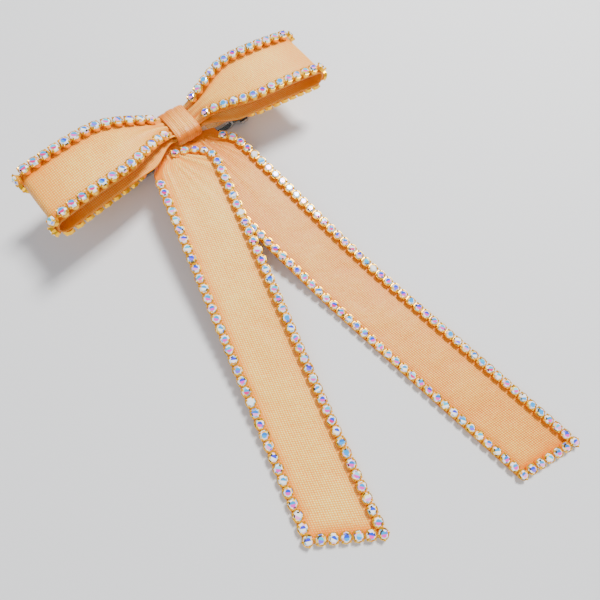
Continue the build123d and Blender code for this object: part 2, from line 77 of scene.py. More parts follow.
def linear(hexcode):
    """sRGB hex to a linear RGBA colour."""
    channels = [int(hexcode[i:i + 2], 16) / 255 for i in (0, 2, 4)]
    return [c / 12.92 if c <= 0.04045 else ((c + 0.055) / 1.055) ** 2.4 for c in channels] + [1.0]


def add_node(tree, kind, settings=None, **links):
    """Adds a node; settings are its properties, links are sockets or values by input name."""
    node = tree.nodes.new(kind)
    for name, value in (settings or {}).items():
        setattr(node, name, value)
    for name, value in links.items():
        key = int(name[1:]) if name[0] == "i" and name[1:].isdigit() else name.replace("_", " ")
        if isinstance(value, bpy.types.NodeSocket):
            tree.links.new(value, node.inputs[key])
        else:
            node.inputs[key].default_value = value
    return node


def new_material(name, **surface):
    """A Principled material; values go straight onto the shader's own sockets."""
    material = bpy.data.materials.new(name)
    material.use_nodes = True
    shader = material.node_tree.nodes["Principled BSDF"]
    for key, value in surface.items():
        shader.inputs[key.replace("_", " ")].default_value = value
    return material, material.node_tree, shader


table_finish = new_material("matt_paper_table", Base_Color=linear("DADADA"), Roughness=0.9)[0]
floor_data.materials.append(table_finish)

world = bpy.data.worlds.new("studio")
world.use_nodes = True
world.node_tree.nodes["Background"].inputs["Color"].default_value = linear("E6E9EE")
world.node_tree.nodes["Background"].inputs["Strength"].default_value = 0.55
scene.world = world


def area_light(name, place, aim, size, power, colour):
    """A square lamp at a place in metres, aimed at a point; its power is in watts."""
    data = bpy.data.lights.new(name, "AREA")
    data.shape = "SQUARE"
    data.size = size
    data.energy = power
    data.color = linear(colour)[:3]
    lamp = bpy.data.objects.new(name, data)
    lamp.location = Vector(place)
    lamp.rotation_euler = (Vector(aim) - Vector(place)).to_track_quat("-Z", "Y").to_euler()
    scene.collection.objects.link(lamp)


clip_middle = (0, -0.06, 0)
area_light("key", (0.42, 0.10, 0.62), clip_middle, 0.20, 12.0, "FFFFFF")
area_light("fill", (-0.5, -0.5, 0.6), clip_middle, 0.7, 4.0, "F4F6FF")

# ---- loop ribbon ----
# One band of double-faced polyester satin, folded into two loops and gathered at the middle
# with thread. It is woven, dyed peach champagne and slightly stiff.
loop_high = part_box("loop_ribbon")[1]
ribbon_t = 0.5 * MM
loop_w = 22.0 * MM
chain_inset = 1.25 * MM  # from a ribbon's edge to the middle of a stone
core_x = 5.0 * MM  # half the length of the gathered core
core_h = 9.8 * MM
flare = 24.0 * MM  # from the core to where the ribbon is at its full width
droop = math.tan(math.radians(7.0))  # each loop leans towards the tails
back_z = 15.6 * MM
front_root_z = 13.5 * MM
back_root_z = 11.6 * MM
fold_r = 2.8 * MM
pleat_reach = 7.5 * MM  # the gathers die away over this length from the knot
valley_reach = 6.0 * MM  # and the shade in their valleys over this one
swell_reach = 22.0 * MM
gold_reflection_reach = 2.3 * MM  # how far the painted reflection of the cups' gold, with painted contact shade, reaches onto the satin beside them
fold_shade_reach = 7.0 * MM
knot_shade = 5.0 * MM
fine_pleats, broad_pleats = 13.0, 7.0  # radians of ripple from the middle to an edge
fine_rise, broad_rise = 0.42, 0.25  # millimetres
back_calm = 0.5  # the back layer is this much as ruffled as the front
fold_x = loop_high.x - fold_r - ribbon_t / 2
front_z = back_z + 2 * fold_r


def smooth(t):
    """Eases from 0 to 1 as t goes from 0 to 1."""
    t = np.clip(t, 0.0, 1.0)
    return t * t * (3 - 2 * t)


def bezier(points, t):
    """The point at t, from 0 to 1, along a Bezier curve."""
    points = [np.array(p, float) for p in points]
    while len(points) > 1:
        points = [a + (b - a) * t for a, b in zip(points, points[1:])]
    return points[0]


def sheet_mesh(name, grid, painted_shade_and_reflection, closed_rows, uv_size, thickness):
    """A quad sheet from a grid of points [row][column][xyz], with a UV map in metres.
    Painted shade and reflection, from 0 to 1 at each point, is how far the colour turns to deep orange: a
    painted reflection of the gold beside it and painted shade in deep folds."""
    rows, cols, _ = grid.shape
    mesh = bpy.data.meshes.new(name)
    verts = grid.reshape(-1, 3).tolist()
    faces = []
    last = rows if closed_rows else rows - 1
    for r in range(last):
        for c in range(cols - 1):
            a = r * cols + c
            b = ((r + 1) % rows) * cols + c
            faces.append((a, b, b + 1, a + 1))
    mesh.from_pydata(verts, [], faces)
    layer = mesh.uv_layers.new(name="weave")
    width, length = uv_size
    middle = grid[:, cols // 2]
    run = np.linalg.norm(np.roll(middle, -1, axis=0) - middle, axis=1)[:last]
    run = np.concatenate([[0.0], np.cumsum(run)])
    run = run * length / run[-1]
    loop_index = 0
    for r in range(last):
        for c in range(cols - 1):
            for rr, cc in ((r, c), (r + 1, c), (r + 1, c + 1), (r, c + 1)):
                layer.data[loop_index].uv = (width * cc / (cols - 1), run[rr])
                loop_index += 1
    # Painted shade and painted reflection, stored on every point for the satin's colour.
    painted_shade_attribute = mesh.attributes.new("painted_shade_and_reflection", "FLOAT", "POINT")
    painted_shade_attribute.data.foreach_set("value", np.clip(painted_shade_and_reflection, 0, 1).astype(np.float32).ravel())
    mesh.update()
    piece = bpy.data.objects.new(name, mesh)
    scene.collection.objects.link(piece)
    solid = piece.modifiers.new("thickness", "SOLIDIFY")
    solid.thickness = thickness
    solid.offset = 0.0
    for polygon in mesh.polygons:
        polygon.use_smooth = True
    return piece


def loop_profile(side):
    """(x, z, outward x, outward z) down one loop, from the front root to the back root."""
    before_fold = fold_x - 14 * MM
    front = [(core_x, front_root_z),
             (core_x + 7 * MM, front_root_z + 0.55 * (front_z - front_root_z)),
             (core_x + 16 * MM, front_z + 0.6 * MM),
             (before_fold, front_z + 0.8 * MM), (fold_x, front_z)]
    rear = [(core_x, back_root_z),
            (core_x + 4 * MM, back_root_z + 0.7 * (back_z - back_root_z)),
            (core_x + 9 * MM, back_z + 0.3 * MM), (before_fold, back_z), (fold_x, back_z)]
    line = [bezier(front, t) for t in np.linspace(0, 1, 64, endpoint=False)]
    middle = (front_z + back_z) / 2
    for turn in np.linspace(math.pi / 2, -math.pi / 2, 16, endpoint=False):
        line.append(np.array((fold_x + fold_r * math.cos(turn), middle + fold_r * math.sin(turn))))
    line += [bezier(rear, 1 - t) for t in np.linspace(0, 1, 64)]
    line = np.array(line)
    along = np.gradient(line, axis=0)
    along /= np.linalg.norm(along, axis=1)[:, None]
    outward = np.stack([-along[:, 1], along[:, 0]], axis=1)
    return np.stack([side * line[:, 0], line[:, 1], side * outward[:, 0], outward[:, 1]], axis=1)


def loop_rows(side, columns):
    """Grid rows of one loop, with gathers that fade away from the knot."""
    rows = []
    painted_shades = []
    across = np.linspace(-1, 1, columns)
    for x, z, nx, nz in loop_profile(side):
        away = max(abs(x) - core_x, 0.0)
        front = nz > 0
        opening = smooth(away / (flare if front else 0.6 * flare))
        half = core_h / 2 + (loop_w / 2 - core_h / 2) * opening
        y = -away * droop + across * half
        from_chain = (1 - np.abs(across)) * half - chain_inset
        # Painted reflection of the cups' gold and painted contact shade along each chain.
        gold_reflection = np.exp(-(from_chain / gold_reflection_reach) ** 2) * smooth((away - 1 * MM) / (3 * MM))
        # Painted shade deep in each loop's fold and on the loops beside the knot.
        fold_painted_shade = 0.45 * math.exp(-((fold_x - abs(x)) / fold_shade_reach) ** 2)
        knot_painted_shade = 0.35 * math.exp(-away / knot_shade)
        fade = math.exp(-away / pleat_reach) * smooth(away / (1.2 * MM) + 0.4)
        phase = 1.3 if side > 0 else 0.2
        pleat = fine_rise * np.cos(across * fine_pleats + phase)
        pleat = pleat + broad_rise * np.cos(across * broad_pleats - phase)
        # Painted shade in the valleys of the gathers near the knot.
        valley_shade = np.clip(0.3 - pleat, -0.3, 1) * math.exp(-away / valley_reach)
        painted_shades.append(0.95 * gold_reflection * (1 if front else 0.6) + fold_painted_shade + knot_painted_shade + 0.9 * valley_shade)
        long_fade = math.exp(-away / swell_reach)
        swell = 0.5 * np.cos(across * 3.1 + phase) * long_fade * smooth(away / (6 * MM))
        edge_curl = -0.25 * (across ** 4) * smooth(away / (10 * MM))
        lift = (pleat * fade + swell * (1.0 if front else back_calm) + edge_curl) * MM
        if not front:
            lift = back_calm * lift
        rows.append(np.stack([x + nx * lift, y, z + nz * lift], axis=1))
    return rows, painted_shades


columns = 49
right_rows, right_painted_shades = loop_rows(1, columns)
left_rows, left_painted_shades = loop_rows(-1, columns)
core_back = [right_rows[-1] + (left_rows[-1] - right_rows[-1]) * t for t in (0.33, 0.67)]
core_front = [left_rows[0] + (right_rows[0] - left_rows[0]) * t for t in (0.33, 0.67)]
band = np.array(right_rows + core_back + left_rows[::-1] + core_front)
plain = [np.zeros(columns)] * 2
band_painted_shade = np.array(right_painted_shades + plain + left_painted_shades[::-1] + plain)
steps = np.linalg.norm(np.roll(band[:, columns // 2], -1, axis=0) - band[:, columns // 2], axis=1)
band_length = float(steps.sum())
loop_sheet = sheet_mesh("loop_ribbon_satin", band, band_painted_shade, True, (loop_w, band_length), ribbon_t)


def calculate(tree, operation, *values):
    """The output of one maths node on sockets or plain values."""
    node = add_node(tree, "ShaderNodeMath", {"operation": operation})
    for socket, value in zip(node.inputs, values):
        if isinstance(value, bpy.types.NodeSocket):
            tree.links.new(value, socket)
        else:
            socket.default_value = value
    return node.outputs[0]


wave_period = 2 * math.pi / 20  # metres between the bands of a wave texture at a scale of 1


def satin(name, base, deep, bright, painted_shade_colour, rough=0.4):
    """Polyester satin: long warp floats give a soft directional gloss over a fine rib weave.
    The real threads are 0.12 mm apart; they are drawn 0.78 mm apart so that they show."""
    material, tree, shader = new_material(
        name, Roughness=rough, Sheen_Weight=0.08, Sheen_Roughness=0.35, Sheen_Tint=linear(bright),
        Specular_IOR_Level=0.3, Anisotropic=0.45)
    cloth = add_node(tree, "ShaderNodeUVMap", {"uv_map": "weave"})
    thread = wave_period / (0.78 * MM)
    warp = add_node(tree, "ShaderNodeTexWave", {"wave_type": "BANDS", "bands_direction": "X"},
                    Vector=cloth.outputs["UV"], Scale=thread, Distortion=0.4, Detail=2.0,
                    Detail_Scale=1.5)
    weft = add_node(tree, "ShaderNodeTexWave", {"wave_type": "BANDS", "bands_direction": "Y"},
                    Vector=cloth.outputs["UV"], Scale=thread * 1.15, Distortion=0.9, Detail=2.0,
                    Detail_Scale=1.5)
    slub = add_node(tree, "ShaderNodeTexNoise", Vector=cloth.outputs["UV"], Scale=1 / (0.9 * MM),
                    Detail=3.0)
    cloud = add_node(tree, "ShaderNodeTexNoise", Vector=cloth.outputs["UV"], Scale=1 / (12 * MM),
                     Detail=2.0)
    both = calculate(tree, "MULTIPLY", warp.outputs["Fac"], weft.outputs["Fac"])
    mottled = add_node(tree, "ShaderNodeMix", {"data_type": "RGBA"}, Factor=cloud.outputs["Fac"],
                       i6=linear(deep), i7=linear(bright))
    ground = add_node(tree, "ShaderNodeMix", {"data_type": "RGBA"}, Factor=0.6, i6=mottled.outputs[2],
                      i7=linear(base))
    flecked = add_node(tree, "ShaderNodeMix", {"data_type": "RGBA", "blend_type": "OVERLAY"},
                       Factor=0.9, i6=ground.outputs[2], i7=both)
    speckled = add_node(tree, "ShaderNodeMix", {"data_type": "RGBA", "blend_type": "SOFT_LIGHT"},
                        Factor=1.0, i6=flecked.outputs[2], i7=slub.outputs["Fac"])
    # Painted shade and painted reflection: where the sheet's attribute is high, the colour turns to the deep
    # orange given for painted shade.
    painted_shade_attribute = add_node(tree, "ShaderNodeAttribute", {"attribute_name": "painted_shade_and_reflection"})
    painted_shade_mix = add_node(tree, "ShaderNodeMix", {"data_type": "RGBA"}, Factor=painted_shade_attribute.outputs["Fac"],
                      i6=speckled.outputs[2], i7=linear(painted_shade_colour))
    tree.links.new(painted_shade_mix.outputs[2], shader.inputs["Base Color"])
    bump = add_node(tree, "ShaderNodeBump", Height=both, Strength=0.7, Distance=0.1 * MM)
    crease = add_node(tree, "ShaderNodeBump", Height=cloud.outputs["Fac"], Strength=0.8,
                      Distance=1.0 * MM, Normal=bump.outputs["Normal"])
    tree.links.new(crease.outputs["Normal"], shader.inputs["Normal"])
    return material


loop_satin = satin("peach_polyester_satin_bow", "FFD262", "F3B340", "FFEDA8", "E88400")
loop_sheet.data.materials.append(loop_satin)
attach(loop_sheet, "bow")
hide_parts("loop_ribbon")

# ---- tails ----
# Two lengths of the same satin, cut at a slant. Each top is gathered to a neck and glued
# behind the knot, and the ribbon eases down to the table.
tail_w = 24.0 * MM
shoulder_u = 17.7 * MM
shoulder_rise = 10.25 * MM
neck_r = 3.0 * MM
slant_angle = math.radians(22.0)
slant = math.tan(slant_angle)
# The right tail's satin is a darker copy of the same satin: painted shade.
tail_satins = {
    "left": satin("peach_polyester_satin_left_tail", "FFD468", "F4B644", "FFF0B0", "E88000"),
    "right": satin("peach_polyester_satin_right_tail_painted_shade", "F4C44A", "E2A82A", "FFE68E", "E07A00")}


def right_height(u):
    """Height of the right tail above the table at u along it."""
    top, level_to, fall_over = 7.9 * MM, 8 * MM, 87 * MM
    return top * (1 - smooth((u - level_to) / fall_over))


def left_height(u):
    """The left tail rises over the right one, then eases down past it."""
    neck, peak = 8.45 * MM, 10.5 * MM
    rise_from, peak_at, fall_over = 7 * MM, 17 * MM, 119 * MM
    rise = neck + (peak - neck) * smooth((u - rise_from) / (10 * MM))
    share = np.clip((u - peak_at) / fall_over, 0, 1)
    fall = peak * (0.5 + 0.5 * np.cos(math.pi * share ** 0.93))
    return np.where(u < peak_at, rise, fall)


tail_gold_reflection_reach = 2.6 * MM  # how far the painted reflection of the cups' gold, with painted contact shade, reaches onto a tail
gather_u = 7 * MM  # the wrinkles stand highest here and die away over the next length
gather_reach = 10 * MM
wave_from = 30 * MM  # below the gathers the tail only ripples gently


def tail_sheet(name, length, height, root_x, angle, gather_at, tail_painted_shade):
    """One tail; gather_at is where across the top the wrinkles meet, from -1 to 1."""
    half = tail_w / 2
    margin = chain_inset / math.cos(slant_angle)
    across = np.linspace(-1, 1, 41)
    grid = []
    painted_shades = []
    stations = np.concatenate([np.linspace(0, 0.14, 60, endpoint=False), np.linspace(0.14, 1, 110)])
    start = 1.0 * MM
    for t in stations:
        end = length + across * half * slant + margin
        u = start + (end - start) * t
        dome_top = shoulder_u - shoulder_rise
        cosine = np.sqrt(np.clip(1 - ((shoulder_u - u) / shoulder_rise) ** 2, 0, 1))
        width = np.where(u < shoulder_u, np.where(u < dome_top, 0.0, half * cosine), half)
        width = np.maximum(width, neck_r + 5.5 * MM * smooth((u - 3.5 * MM) / (3 * MM)))
        x = across * width
        from_side = width - np.abs(x) - chain_inset
        from_end = (end - u) * math.cos(slant_angle) - chain_inset
        from_chain = np.minimum(from_side, from_end)
        # Painted reflection of the cups' gold and painted contact shade along the tail's chains.
        gold_reflection = np.exp(-(from_chain / tail_gold_reflection_reach) ** 2)
        z = height(u) + ribbon_t / 2
        fade = np.exp(-np.abs(u - gather_u) / gather_reach)
        fan = np.arctan2(across - gather_at, (u - 4 * MM) / (14 * MM))
        pleat = 0.42 * np.cos(fan * 15.0) + 0.22 * np.cos(fan * 27.0 + 1.0)
        inside = smooth((u - 6.0 * MM) / (3 * MM)) * (1 - across ** 6)
        near_top = np.exp(-((u - 9 * MM) / (11 * MM)) ** 2)
        # Painted shade in the valleys of the gathers at the tail's top.
        valley_shade = np.clip(0.55 - np.abs(pleat) * 1.6, -0.3, 1) * near_top * inside
        # Painted shade under the knot at the tail's top, and a share of painted shade over the whole right
        # tail.
        top_painted_shade = tail_painted_shade[1] * np.exp(-((u / (17 * MM)) ** 2))
        painted_shades.append(0.95 * gold_reflection + tail_painted_shade[0] + top_painted_shade + 1.2 * valley_shade)
        wave = 0.28 * np.sin(u / (17 * MM) + across * 1.1) * smooth((u - wave_from) / (30 * MM))
        wave = wave * smooth((end - u) / (25 * MM)) * np.clip(height(u) / (1.0 * MM), 0, 1)
        z = z + (np.abs(pleat) * fade * inside * 1.9 + wave * 0.5 * (1 - across ** 2)) * MM
        grid.append(np.stack([x, -u, z], axis=1))
    grid = np.array(grid)
    turn = math.radians(angle)
    x = grid[..., 0] * math.cos(turn) - grid[..., 1] * math.sin(turn) + root_x
    y = grid[..., 0] * math.sin(turn) + grid[..., 1] * math.cos(turn)
    grid = np.stack([x, y, grid[..., 2]], axis=2)
    return sheet_mesh(name, grid, np.array(painted_shades), False, (tail_w, length), ribbon_t)


# The last pair is painted shade: a share over the whole tail, and more at its top under the knot.
for side, length, height, root_x, angle, gather_at, tail_painted_shade in (
        ("left", 148.5 * MM, left_height, -3.9 * MM, -15.7, -0.55, (0.0, 0.3)),
        ("right", 174.0 * MM, right_height, 1.8 * MM, 7.2, 0.1, (0.15, 0.7))):
    tail = tail_sheet(side + "_tail_satin", length, height, root_x, angle, gather_at, tail_painted_shade)
    tail.data.materials.append(tail_satins[side])
    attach(tail, side + "_tail")
    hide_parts(side + "_tail_ribbon")

# ---- knot wrap ----
# A narrow strip of the same satin, wrapped once round the gathered middle under tension and
# glued behind. It bulges in front, with soft creases along its length.
knot_low, knot_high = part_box("knot_wrap")
knot_half_l = (knot_high.x - knot_low.x) / 2
knot_t = 0.6 * MM
knot_half_h = (knot_high.y - knot_low.y) / 2 - knot_t / 2
knot_half_t = (knot_high.z - knot_low.z) / 2 - knot_t / 2
knot_mid = (knot_high + knot_low) / 2
ring = []
knot_tints = []
knot_columns = 37
around = np.linspace(0, 2 * math.pi, 120, endpoint=False)
across = np.linspace(-1, 1, knot_columns)
power = 2.0 / 3.2  # squares the oval off, as layers under tension do
for turn in around:
    c, s = math.cos(turn), math.sin(turn)
    y = knot_half_h * math.copysign(abs(c) ** power, c)
    z = knot_half_t * math.copysign(abs(s) ** power, s)
    crease = 0.09 * np.cos(across * 8.0 + 1.6 * math.sin(turn)) + 0.05 * np.cos(across * 17 - 2.0 * c)
    pull = 0.34 * across ** 2
    swell = (crease - pull) * MM
    # Shade lies on both shoulders of the wrap and at its ends; its crown catches the light.
    shade = 0.32 + 0.6 * math.exp(-((turn - 0.9) / 0.45) ** 2) * (0.6 - 0.5 * across)
    shade = shade + 0.8 * math.exp(-((turn - 2.75) / 0.4) ** 2) + 0.25 * np.abs(across) ** 5
    knot_tints.append(shade - 0.3 * math.exp(-((turn - 1.75) / 0.25) ** 2))
    narrow = 1 - 0.07 * max(s, 0) * (1 - abs(c))
    ring.append(np.stack([knot_mid.x + across * knot_half_l * narrow,
                          y * (1 + swell / knot_half_h),
                          knot_mid.z + z * (1 + swell / knot_half_t)], axis=1))
# The outline's length, taken as an oval's, with a twentieth added because it is squared off.
knot_length = 2 * math.pi * math.sqrt((knot_half_h ** 2 + knot_half_t ** 2) / 2) * 1.05
knot = sheet_mesh("knot_wrap_satin", np.array(ring), np.array(knot_tints), True,
                  (2 * knot_half_l, knot_length), knot_t)
knot.data.materials.append(satin("peach_polyester_satin_knot", "FCCB5C", "E89E28", "FFEDB0", "D06C00", 0.32))
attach(knot, "bow")
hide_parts("knot_wrap")

# ---- cup chain ----
# Rows of glass chatons in stamped, gold-plated brass cups, joined by small links and sewn to
# the ribbon. Four prongs are pressed over each stone.


def islands(obj):
    """Vertex groups of a CAD node's separate solids, as arrays of points."""
    mesh = bmesh.new()
    mesh.from_mesh(obj.data)
    bmesh.ops.remove_doubles(mesh, verts=mesh.verts, dist=1e-6)
    mesh.verts.ensure_lookup_table()
    seen = set()
    groups = []
    for start in mesh.verts:
        if start.index in seen:
            continue
        stack = [start]
        seen.add(start.index)
        group = []
        while stack:
            vert = stack.pop()
            group.append(vert.co.copy())
            for edge in vert.link_edges:
                other = edge.other_vert(vert)
                if other.index not in seen:
                    seen.add(other.index)
                    stack.append(other)
        groups.append(np.array(group))
    mesh.free()
    return groups


cup_floor = 0.4 * MM  # the CAD stones stand this far above the foot of their cups


def chain_places(stones_node):
    """Foot, outward normal and chain direction of each stone of a CAD node."""
    centres, normals = [], []
    for group in islands(nodes[stones_node]):
        middle = (group.min(0) + group.max(0)) / 2
        _, _, axes = np.linalg.svd(group - group.mean(0))
        spans = [np.ptp((group - middle) @ axis) for axis in axes]
        axis = axes[int(np.argmin(spans))]
        heights = (group - middle) @ axis
        radii = np.linalg.norm((group - middle) - np.outer(heights, axis), axis=1)
        top = radii[heights > heights.max() - 1e-5].max()
        bottom = radii[heights < heights.min() + 1e-5].max()
        if bottom > top:
            axis, heights = -axis, -heights
        centres.append(middle + axis * heights.min() - axis * cup_floor)
        normals.append(axis)
    centres, normals = np.array(centres), np.array(normals)
    tangents = []
    for i, place in enumerate(centres):
        gaps = np.linalg.norm(centres - place, axis=1)
        nearest = np.argsort(gaps)[1:3]
        if gaps[nearest[1]] > 1.6 * gaps[nearest[0]]:
            along = centres[nearest[0]] - place
        else:
            along = centres[nearest[0]] - centres[nearest[1]]
            if np.linalg.norm(along) < 0.5 * gaps[nearest[0]]:
                along = centres[nearest[0]] - place
        along = along - normals[i] * (along @ normals[i])
        tangents.append(along / np.linalg.norm(along))
    return centres, normals, np.array(tangents)


def place_cloud(name, centres, normals, tangents):
    """A cloud of points that carries each cup's outward normal and chain direction."""
    mesh = bpy.data.meshes.new(name)
    mesh.from_pydata(centres.tolist(), [], [])
    for key, values in (("outward", normals), ("along", tangents)):
        layer = mesh.attributes.new(key, "FLOAT_VECTOR", "POINT")
        layer.data.foreach_set("vector", values.astype(np.float32).ravel())
    cloud = bpy.data.objects.new(name, mesh)
    scene.collection.objects.link(cloud)
    return cloud


def settle_stones(cloud, seed):
    """Turns the stones in their cups, all much the same way, and gives each a draw of its own for the painted
    reflection on its table.
    """
    dice = np.random.default_rng(seed)
    count = len(cloud.data.vertices)
    aim = np.array((0.755, -0.647, 0.112)) + dice.normal(0, 0.28, (count, 3))
    cloud.data.attributes["along"].data.foreach_set("vector", aim.astype(np.float32).ravel())
    reflection_draws = cloud.data.attributes.new("reflection_draw", "FLOAT", "POINT")
    reflection_draws.data.foreach_set("value", dice.random(count).astype(np.float32))


def lifted(tree, shape, height, turn=None):
    """Raises a shape by a height, after an optional turn about the three axes."""
    move = add_node(tree, "GeometryNodeTransform", Geometry=shape)
    if turn:
        move.inputs["Rotation"].default_value = turn
    rise = add_node(tree, "ShaderNodeCombineXYZ", Z=height)
    tree.links.new(rise.outputs[0], move.inputs["Translation"])
    return move.outputs["Geometry"]


def turned_shape(tree, vertices, low_r, high_r, depth, lift, fill="NONE"):
    """An open or filled cone in a node tree, standing lift above the cup's base."""
    cone = add_node(tree, "GeometryNodeMeshCone", {"fill_type": fill}, Vertices=vertices,
                    Radius_Top=high_r, Radius_Bottom=low_r, Depth=depth)
    return lifted(tree, cone.outputs["Mesh"], lift)


def joined(tree, shapes):
    """All the shapes as one."""
    join = add_node(tree, "GeometryNodeJoinGeometry")
    for shape in shapes:
        tree.links.new(shape, join.inputs[0])
    return join.outputs[0]


def chain_tree(name, sizes):
    """Starts a node tree with its named sizes, and the rotation that seats one cup."""
    tree = bpy.data.node_groups.new(name, "GeometryNodeTree")
    tree.interface.new_socket("Geometry", in_out="INPUT", socket_type="NodeSocketGeometry")
    tree.interface.new_socket("Geometry", in_out="OUTPUT", socket_type="NodeSocketGeometry")
    for key, value in sizes.items():
        socket = tree.interface.new_socket(key, in_out="INPUT", socket_type="NodeSocketFloat")
        socket.default_value = value
    source = add_node(tree, "NodeGroupInput")
    outward = add_node(tree, "GeometryNodeInputNamedAttribute", {"data_type": "FLOAT_VECTOR"}, Name="outward")
    along = add_node(tree, "GeometryNodeInputNamedAttribute", {"data_type": "FLOAT_VECTOR"}, Name="along")
    seat = add_node(tree, "FunctionNodeAxesToRotation", {"primary_axis": "Z", "secondary_axis": "X"})
    tree.links.new(outward.outputs["Attribute"], seat.inputs[0])
    tree.links.new(along.outputs["Attribute"], seat.inputs[1])
    return tree, source, seat.outputs[0]


def finish_tree(tree, source, seat, shape, material, smooth_faces, sparkle=False):
    """Seats the shape on every point and gives it its material; sparkle numbers the facets."""
    spread = add_node(tree, "GeometryNodeInstanceOnPoints", Instance=shape, Rotation=seat)
    tree.links.new(source.outputs["Geometry"], spread.inputs["Points"])
    real = add_node(tree, "GeometryNodeRealizeInstances", Geometry=spread.outputs[0])
    result = real.outputs[0]
    if sparkle:
        face = add_node(tree, "GeometryNodeInputIndex")
        chance = add_node(tree, "FunctionNodeRandomValue", {"data_type": "FLOAT"},
                          ID=face.outputs[0], Seed=7)
        tag = add_node(tree, "GeometryNodeStoreNamedAttribute", {"data_type": "FLOAT", "domain": "FACE"},
                       Geometry=result, Name="glint")
        tree.links.new(chance.outputs[1], tag.inputs["Value"])
        result = tag.outputs[0]
    shade = add_node(tree, "GeometryNodeSetShadeSmooth", Geometry=result, Shade_Smooth=smooth_faces)
    paint = add_node(tree, "GeometryNodeSetMaterial", Geometry=shade.outputs[0], Material=material)
    end = add_node(tree, "NodeGroupOutput")
    tree.links.new(paint.outputs[0], end.inputs[0])


def grow(cloud, tree, name, sizes):
    """Runs a tree on a cloud of places and keeps the result as a plain mesh."""
    modifier = cloud.modifiers.new("grow", "NODES")
    modifier.node_group = tree
    for item in tree.interface.items_tree:
        if item.item_type == "SOCKET" and item.in_out == "INPUT" and item.name in sizes:
            modifier[item.identifier] = sizes[item.name]
    graph = bpy.context.evaluated_depsgraph_get()
    mesh = bpy.data.meshes.new_from_object(cloud.evaluated_get(graph), depsgraph=graph)
    cloud.modifiers.remove(modifier)
    piece = bpy.data.objects.new(name, mesh)
    mesh.name = name
    scene.collection.objects.link(piece)
    return piece


cup_sizes = {"base radius": 1.6 * MM, "rim radius": 1.81 * MM, "height": 1.35 * MM,
             "prong height": 0.75 * MM}
# Thin gold plate over stamped brass: a warm, slightly uneven gleam. The faint glow stands in
# for the light that crowded cups throw on one another.
gold, gold_tree, gold_shader = new_material(
    "gold_plated_stamped_brass", Metallic=0.9, Roughness=0.3,
    Emission_Color=linear("FFA600"), Emission_Strength=0.07)
gold_place = add_node(gold_tree, "ShaderNodeTexCoord")
gold_grain = add_node(gold_tree, "ShaderNodeTexNoise", Vector=gold_place.outputs["Object"],
                      Scale=1 / (0.5 * MM), Detail=2.0)
gold_tone = add_node(gold_tree, "ShaderNodeMix", {"data_type": "RGBA"}, Factor=gold_grain.outputs["Fac"],
                     i6=linear("F4A000"), i7=linear("FFD818"))
gold_tree.links.new(gold_tone.outputs[2], gold_shader.inputs["Base Color"])
gold_bump = add_node(gold_tree, "ShaderNodeBump", Height=gold_grain.outputs["Fac"], Strength=0.25,
                     Distance=0.05 * MM)
gold_tree.links.new(gold_bump.outputs["Normal"], gold_shader.inputs["Normal"])

cup_tree, cup_source, cup_seat = chain_tree("claw_cups", cup_sizes)
base_r, rim_r, cup_h, prong_h = [cup_source.outputs[key] for key in cup_sizes]

cup_sides = 16
wall_t = 0.17 * MM
lip_h = 0.02 * MM
prong_tip_r = 0.22 * MM
prong_root_r = 0.42 * MM
prong_inset = 0.06 * MM  # the prongs' roots stand this far inside the rim
prong_sink = 0.12 * MM  # and this far below it
prong_lean_in = math.radians(-38)

inner_r = calculate(cup_tree, "SUBTRACT", rim_r, wall_t)
lining_r = calculate(cup_tree, "MULTIPLY", base_r, 0.55)
wall = turned_shape(cup_tree, cup_sides, base_r, rim_r, cup_h, 0.0)
lining = turned_shape(cup_tree, cup_sides, lining_r, inner_r, cup_h, 0.0)
lining = add_node(cup_tree, "GeometryNodeFlipFaces", Mesh=lining).outputs[0]
lip = turned_shape(cup_tree, cup_sides, rim_r, inner_r, lip_h, cup_h)
foot = add_node(cup_tree, "GeometryNodeMeshCircle", {"fill_type": "NGON"}, Vertices=cup_sides,
                Radius=base_r)
foot_down = add_node(cup_tree, "GeometryNodeFlipFaces", Mesh=foot.outputs[0])

prong_ring = add_node(cup_tree, "GeometryNodeMeshCircle", {"fill_type": "NONE"}, Vertices=4,
                      Radius=calculate(cup_tree, "SUBTRACT", rim_r, prong_inset))
prong = add_node(cup_tree, "GeometryNodeMeshCone", {"fill_type": "NGON"}, Vertices=6,
                 Radius_Top=prong_tip_r, Radius_Bottom=prong_root_r, Depth=prong_h)
prong_lean = add_node(cup_tree, "GeometryNodeTransform", Geometry=prong.outputs["Mesh"])
prong_lean.inputs["Rotation"].default_value = (0, prong_lean_in, 0)
prong_spot = add_node(cup_tree, "GeometryNodeInputPosition")
prong_turn = add_node(cup_tree, "FunctionNodeAxesToRotation",
                      {"primary_axis": "X", "secondary_axis": "Z"})
cup_tree.links.new(prong_spot.outputs[0], prong_turn.inputs[0])
prong_turn.inputs[1].default_value = (0, 0, 1)
prong_set = add_node(cup_tree, "GeometryNodeInstanceOnPoints", Points=prong_ring.outputs[0],
                     Instance=prong_lean.outputs[0], Rotation=prong_turn.outputs[0])
prongs = lifted(cup_tree, prong_set.outputs[0], calculate(cup_tree, "SUBTRACT", cup_h, prong_sink),
                (0, 0, math.radians(45)))
whole_cup = joined(cup_tree, [wall, lining, lip, foot_down.outputs[0], prongs])
finish_tree(cup_tree, cup_source, cup_seat, whole_cup, gold, False)

# The stones are cut glass with an iridescent coating: a flat table, a faceted crown and a
# foiled back. Each facet's different colour is partly the coating's own and partly a painted
# glint or reflection; the stones also glow faintly with these colours, which is painted light.
stone_sizes = {"stone radius": 1.58 * MM, "table radius": 0.92 * MM, "crown height": 0.34 * MM,
               "girdle height": 1.27 * MM}
crystal, crystal_tree, crystal_shader = new_material(
    "coated_foiled_glass_painted_reflections", Roughness=0.07, IOR=1.6, Metallic=0.1, Coat_Weight=0.6,
    Coat_Roughness=0.03, Emission_Strength=0.10)


